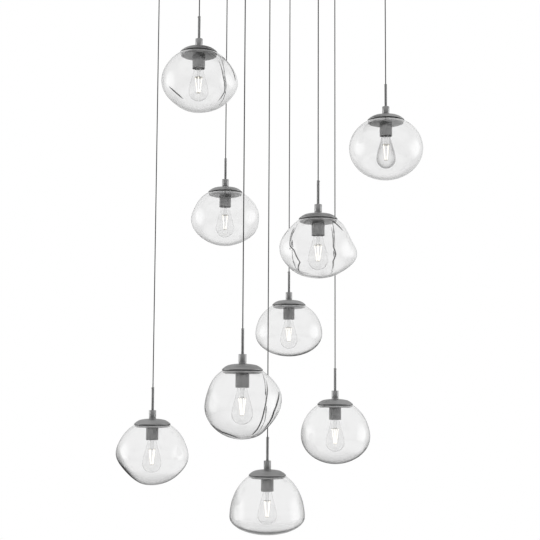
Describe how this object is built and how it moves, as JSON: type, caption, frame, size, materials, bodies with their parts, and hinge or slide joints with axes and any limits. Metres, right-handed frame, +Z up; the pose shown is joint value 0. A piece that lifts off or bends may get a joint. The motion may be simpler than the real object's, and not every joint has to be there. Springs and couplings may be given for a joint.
{
  "type": "cluster pendant light",
  "caption": "Cluster pendant: hand-blown clear glass shades on cords at different heights under one square ceiling canopy, each with a filament-style lamp bulb.",
  "frame": {"origin": "centre of the ceiling plate's top face, on the ceiling", "axes": "+Z up to the ceiling; X and Y along the canopy's sides, which are also the lines of the cord ports"},
  "size_m": [0.727, 0.7307, 1.8671],
  "materials": {
    "plate_steel": "zinc-plated sheet",
    "canopy_metal": "satin nickel",
    "hardware": "satin nickel",
    "satin_metal": "satin nickel",
    "holder_metal": "satin",
    "moulding": "moulded",
    "cord_jacket": "smooth grey jacket",
    "blown_glass": "clear, hand-blown, with ripples and seeds",
    "bulb_glass": "clear"
  },
  "bodies": {
    "canopy": {"ceiling_plate": "plate_steel", "canopy_cover": "canopy_metal", "canopy_screws": "hardware", "cord_grips": "hardware", "terminal_box": "moulding", "port_leads": "cord_jacket"},
    "cord_1": {"cord_1": "cord_jacket"},
    "pendant_1": {"stem_1": "satin_metal", "cap_1": "satin_metal", "lampholder_1": "holder_metal", "shade_1": "blown_glass"},
    "bulb_1": {"bulb_1": "bulb_glass"},
    "cord_2": {"cord_2": "cord_jacket"},
    "pendant_2": {"stem_2": "satin_metal", "cap_2": "satin_metal", "lampholder_2": "holder_metal", "shade_2": "blown_glass"},
    "bulb_2": {"bulb_2": "bulb_glass"},
    "cord_3": {"cord_3": "cord_jacket"},
    "pendant_3": {"stem_3": "satin_metal", "cap_3": "satin_metal", "lampholder_3": "holder_metal", "shade_3": "blown_glass"},
    "bulb_3": {"bulb_3": "bulb_glass"},
    "cord_4": {"cord_4": "cord_jacket"},
    "pendant_4": {"stem_4": "satin_metal", "cap_4": "satin_metal", "lampholder_4": "holder_metal", "shade_4": "blown_glass"},
    "bulb_4": {"bulb_4": "bulb_glass"},
    "cord_5": {"cord_5": "cord_jacket"},
    "pendant_5": {"stem_5": "satin_metal", "cap_5": "satin_metal", "lampholder_5": "holder_metal", "shade_5": "blown_glass"},
    "bulb_5": {"bulb_5": "bulb_glass"},
    "cord_6": {"cord_6": "cord_jacket"},
    "pendant_6": {"stem_6": "satin_metal", "cap_6": "satin_metal", "lampholder_6": "holder_metal", "shade_6": "blown_glass"},
    "bulb_6": {"bulb_6": "bulb_glass"},
    "cord_7": {"cord_7": "cord_jacket"},
    "pendant_7": {"stem_7": "satin_metal", "cap_7": "satin_metal", "lampholder_7": "holder_metal", "shade_7": "blown_glass"},
    "bulb_7": {"bulb_7": "bulb_glass"},
    "cord_8": {"cord_8": "cord_jacket"},
    "pendant_8": {"stem_8": "satin_metal", "cap_8": "satin_metal", "lampholder_8": "holder_metal", "shade_8": "blown_glass"},
    "bulb_8": {"bulb_8": "bulb_glass"},
    "cord_9": {"cord_9": "cord_jacket"},
    "pendant_9": {"stem_9": "satin_metal", "cap_9": "satin_metal", "lampholder_9": "holder_metal", "shade_9": "blown_glass"},
    "bulb_9": {"bulb_9": "bulb_glass"}
  },
  "joints": [
    {"name": "cord_swing_1", "type": "hinge", "parent": "canopy", "child": "cord_1", "pos_m": [-0.254, 0, -0.05], "axis": [1, 0, 0], "range_deg": [-12, 12]},
    {"name": "pendant_rock_1", "type": "hinge", "parent": "cord_1", "child": "pendant_1", "pos_m": [-0.254, 0, -0.334], "axis": [0, 1, 0], "range_deg": [-8, 8]},
    {"name": "bulb_unscrew_1", "type": "hinge", "parent": "pendant_1", "child": "bulb_1", "pos_m": [-0.254, 0, -0.474], "axis": [0, 0, 1], "range_deg": [-720, 0]},
    {"name": "cord_swing_2", "type": "hinge", "parent": "canopy", "child": "cord_2", "pos_m": [0, 0.254, -0.05], "axis": [1, 0, 0], "range_deg": [-7, 7]},
    {"name": "pendant_rock_2", "type": "hinge", "parent": "cord_2", "child": "pendant_2", "pos_m": [0, 0.254, -0.6925], "axis": [0, 1, 0], "range_deg": [-8, 8]},
    {"name": "bulb_unscrew_2", "type": "hinge", "parent": "pendant_2", "child": "bulb_2", "pos_m": [0, 0.254, -0.8325], "axis": [0, 0, 1], "range_deg": [-720, 0]},
    {"name": "cord_swing_3", "type": "hinge", "parent": "canopy", "child": "cord_3", "pos_m": [0, -0.254, -0.05], "axis": [1, 0, 0], "range_deg": [-6, 6]},
    {"name": "pendant_rock_3", "type": "hinge", "parent": "cord_3", "child": "pendant_3", "pos_m": [0, -0.254, -0.8425], "axis": [0, 1, 0], "range_deg": [-8, 8]},
    {"name": "bulb_unscrew_3", "type": "hinge", "parent": "pendant_3", "child": "bulb_3", "pos_m": [0, -0.254, -0.9825], "axis": [0, 0, 1], "range_deg": [-720, 0]},
    {"name": "cord_swing_4", "type": "hinge", "parent": "canopy", "child": "cord_4", "pos_m": [0.254, -0.254, -0.05], "axis": [1, 0, 0], "range_deg": [-9, 9]},
    {"name": "pendant_rock_4", "type": "hinge", "parent": "cord_4", "child": "pendant_4", "pos_m": [0.254, -0.254, -0.5185], "axis": [0, 1, 0], "range_deg": [-8, 8]},
    {"name": "bulb_unscrew_4", "type": "hinge", "parent": "pendant_4", "child": "bulb_4", "pos_m": [0.254, -0.254, -0.6585], "axis": [0, 0, 1], "range_deg": [-720, 0]},
    {"name": "cord_swing_5", "type": "hinge", "parent": "canopy", "child": "cord_5", "pos_m": [0.254, 0.254, -0.05], "axis": [1, 0, 0], "range_deg": [-5, 5]},
    {"name": "pendant_rock_5", "type": "hinge", "parent": "cord_5", "child": "pendant_5", "pos_m": [0.254, 0.254, -1.0475], "axis": [0, 1, 0], "range_deg": [-8, 8]},
    {"name": "bulb_unscrew_5", "type": "hinge", "parent": "pendant_5", "child": "bulb_5", "pos_m": [0.254, 0.254, -1.1875], "axis": [0, 0, 1], "range_deg": [-720, 0]},
    {"name": "cord_swing_6", "type": "hinge", "parent": "canopy", "child": "cord_6", "pos_m": [-0.254, -0.254, -0.05], "axis": [1, 0, 0], "range_deg": [-4, 4]},
    {"name": "pendant_rock_6", "type": "hinge", "parent": "cord_6", "child": "pendant_6", "pos_m": [-0.254, -0.254, -1.2775], "axis": [0, 1, 0], "range_deg": [-8, 8]},
    {"name": "bulb_unscrew_6", "type": "hinge", "parent": "pendant_6", "child": "bulb_6", "pos_m": [-0.254, -0.254, -1.4175], "axis": [0, 0, 1], "range_deg": [-720, 0]},
    {"name": "cord_swing_7", "type": "hinge", "parent": "canopy", "child": "cord_7", "pos_m": [-0.254, 0.254, -0.05], "axis": [1, 0, 0], "range_deg": [-3, 3]},
    {"name": "pendant_rock_7", "type": "hinge", "parent": "cord_7", "child": "pendant_7", "pos_m": [-0.254, 0.254, -1.4365], "axis": [0, 1, 0], "range_deg": [-8, 8]},
    {"name": "bulb_unscrew_7", "type": "hinge", "parent": "pendant_7", "child": "bulb_7", "pos_m": [-0.254, 0.254, -1.5765], "axis": [0, 0, 1], "range_deg": [-720, 0]},
    {"name": "cord_swing_8", "type": "hinge", "parent": "canopy", "child": "cord_8", "pos_m": [0.254, 0, -0.05], "axis": [1, 0, 0], "range_deg": [-4, 4]},
    {"name": "pendant_rock_8", "type": "hinge", "parent": "cord_8", "child": "pendant_8", "pos_m": [0.254, 0, -1.374], "axis": [0, 1, 0], "range_deg": [-8, 8]},
    {"name": "bulb_unscrew_8", "type": "hinge", "parent": "pendant_8", "child": "bulb_8", "pos_m": [0.254, 0, -1.514], "axis": [0, 0, 1], "range_deg": [-720, 0]},
    {"name": "cord_swing_9", "type": "hinge", "parent": "canopy", "child": "cord_9", "pos_m": [0, 0, -0.05], "axis": [1, 0, 0], "range_deg": [-3, 3]},
    {"name": "pendant_rock_9", "type": "hinge", "parent": "cord_9", "child": "pendant_9", "pos_m": [0, 0, -1.5835], "axis": [0, 1, 0], "range_deg": [-8, 8]},
    {"name": "bulb_unscrew_9", "type": "hinge", "parent": "pendant_9", "child": "bulb_9", "pos_m": [0, 0, -1.7235], "axis": [0, 0, 1], "range_deg": [-720, 0]}
  ]
}
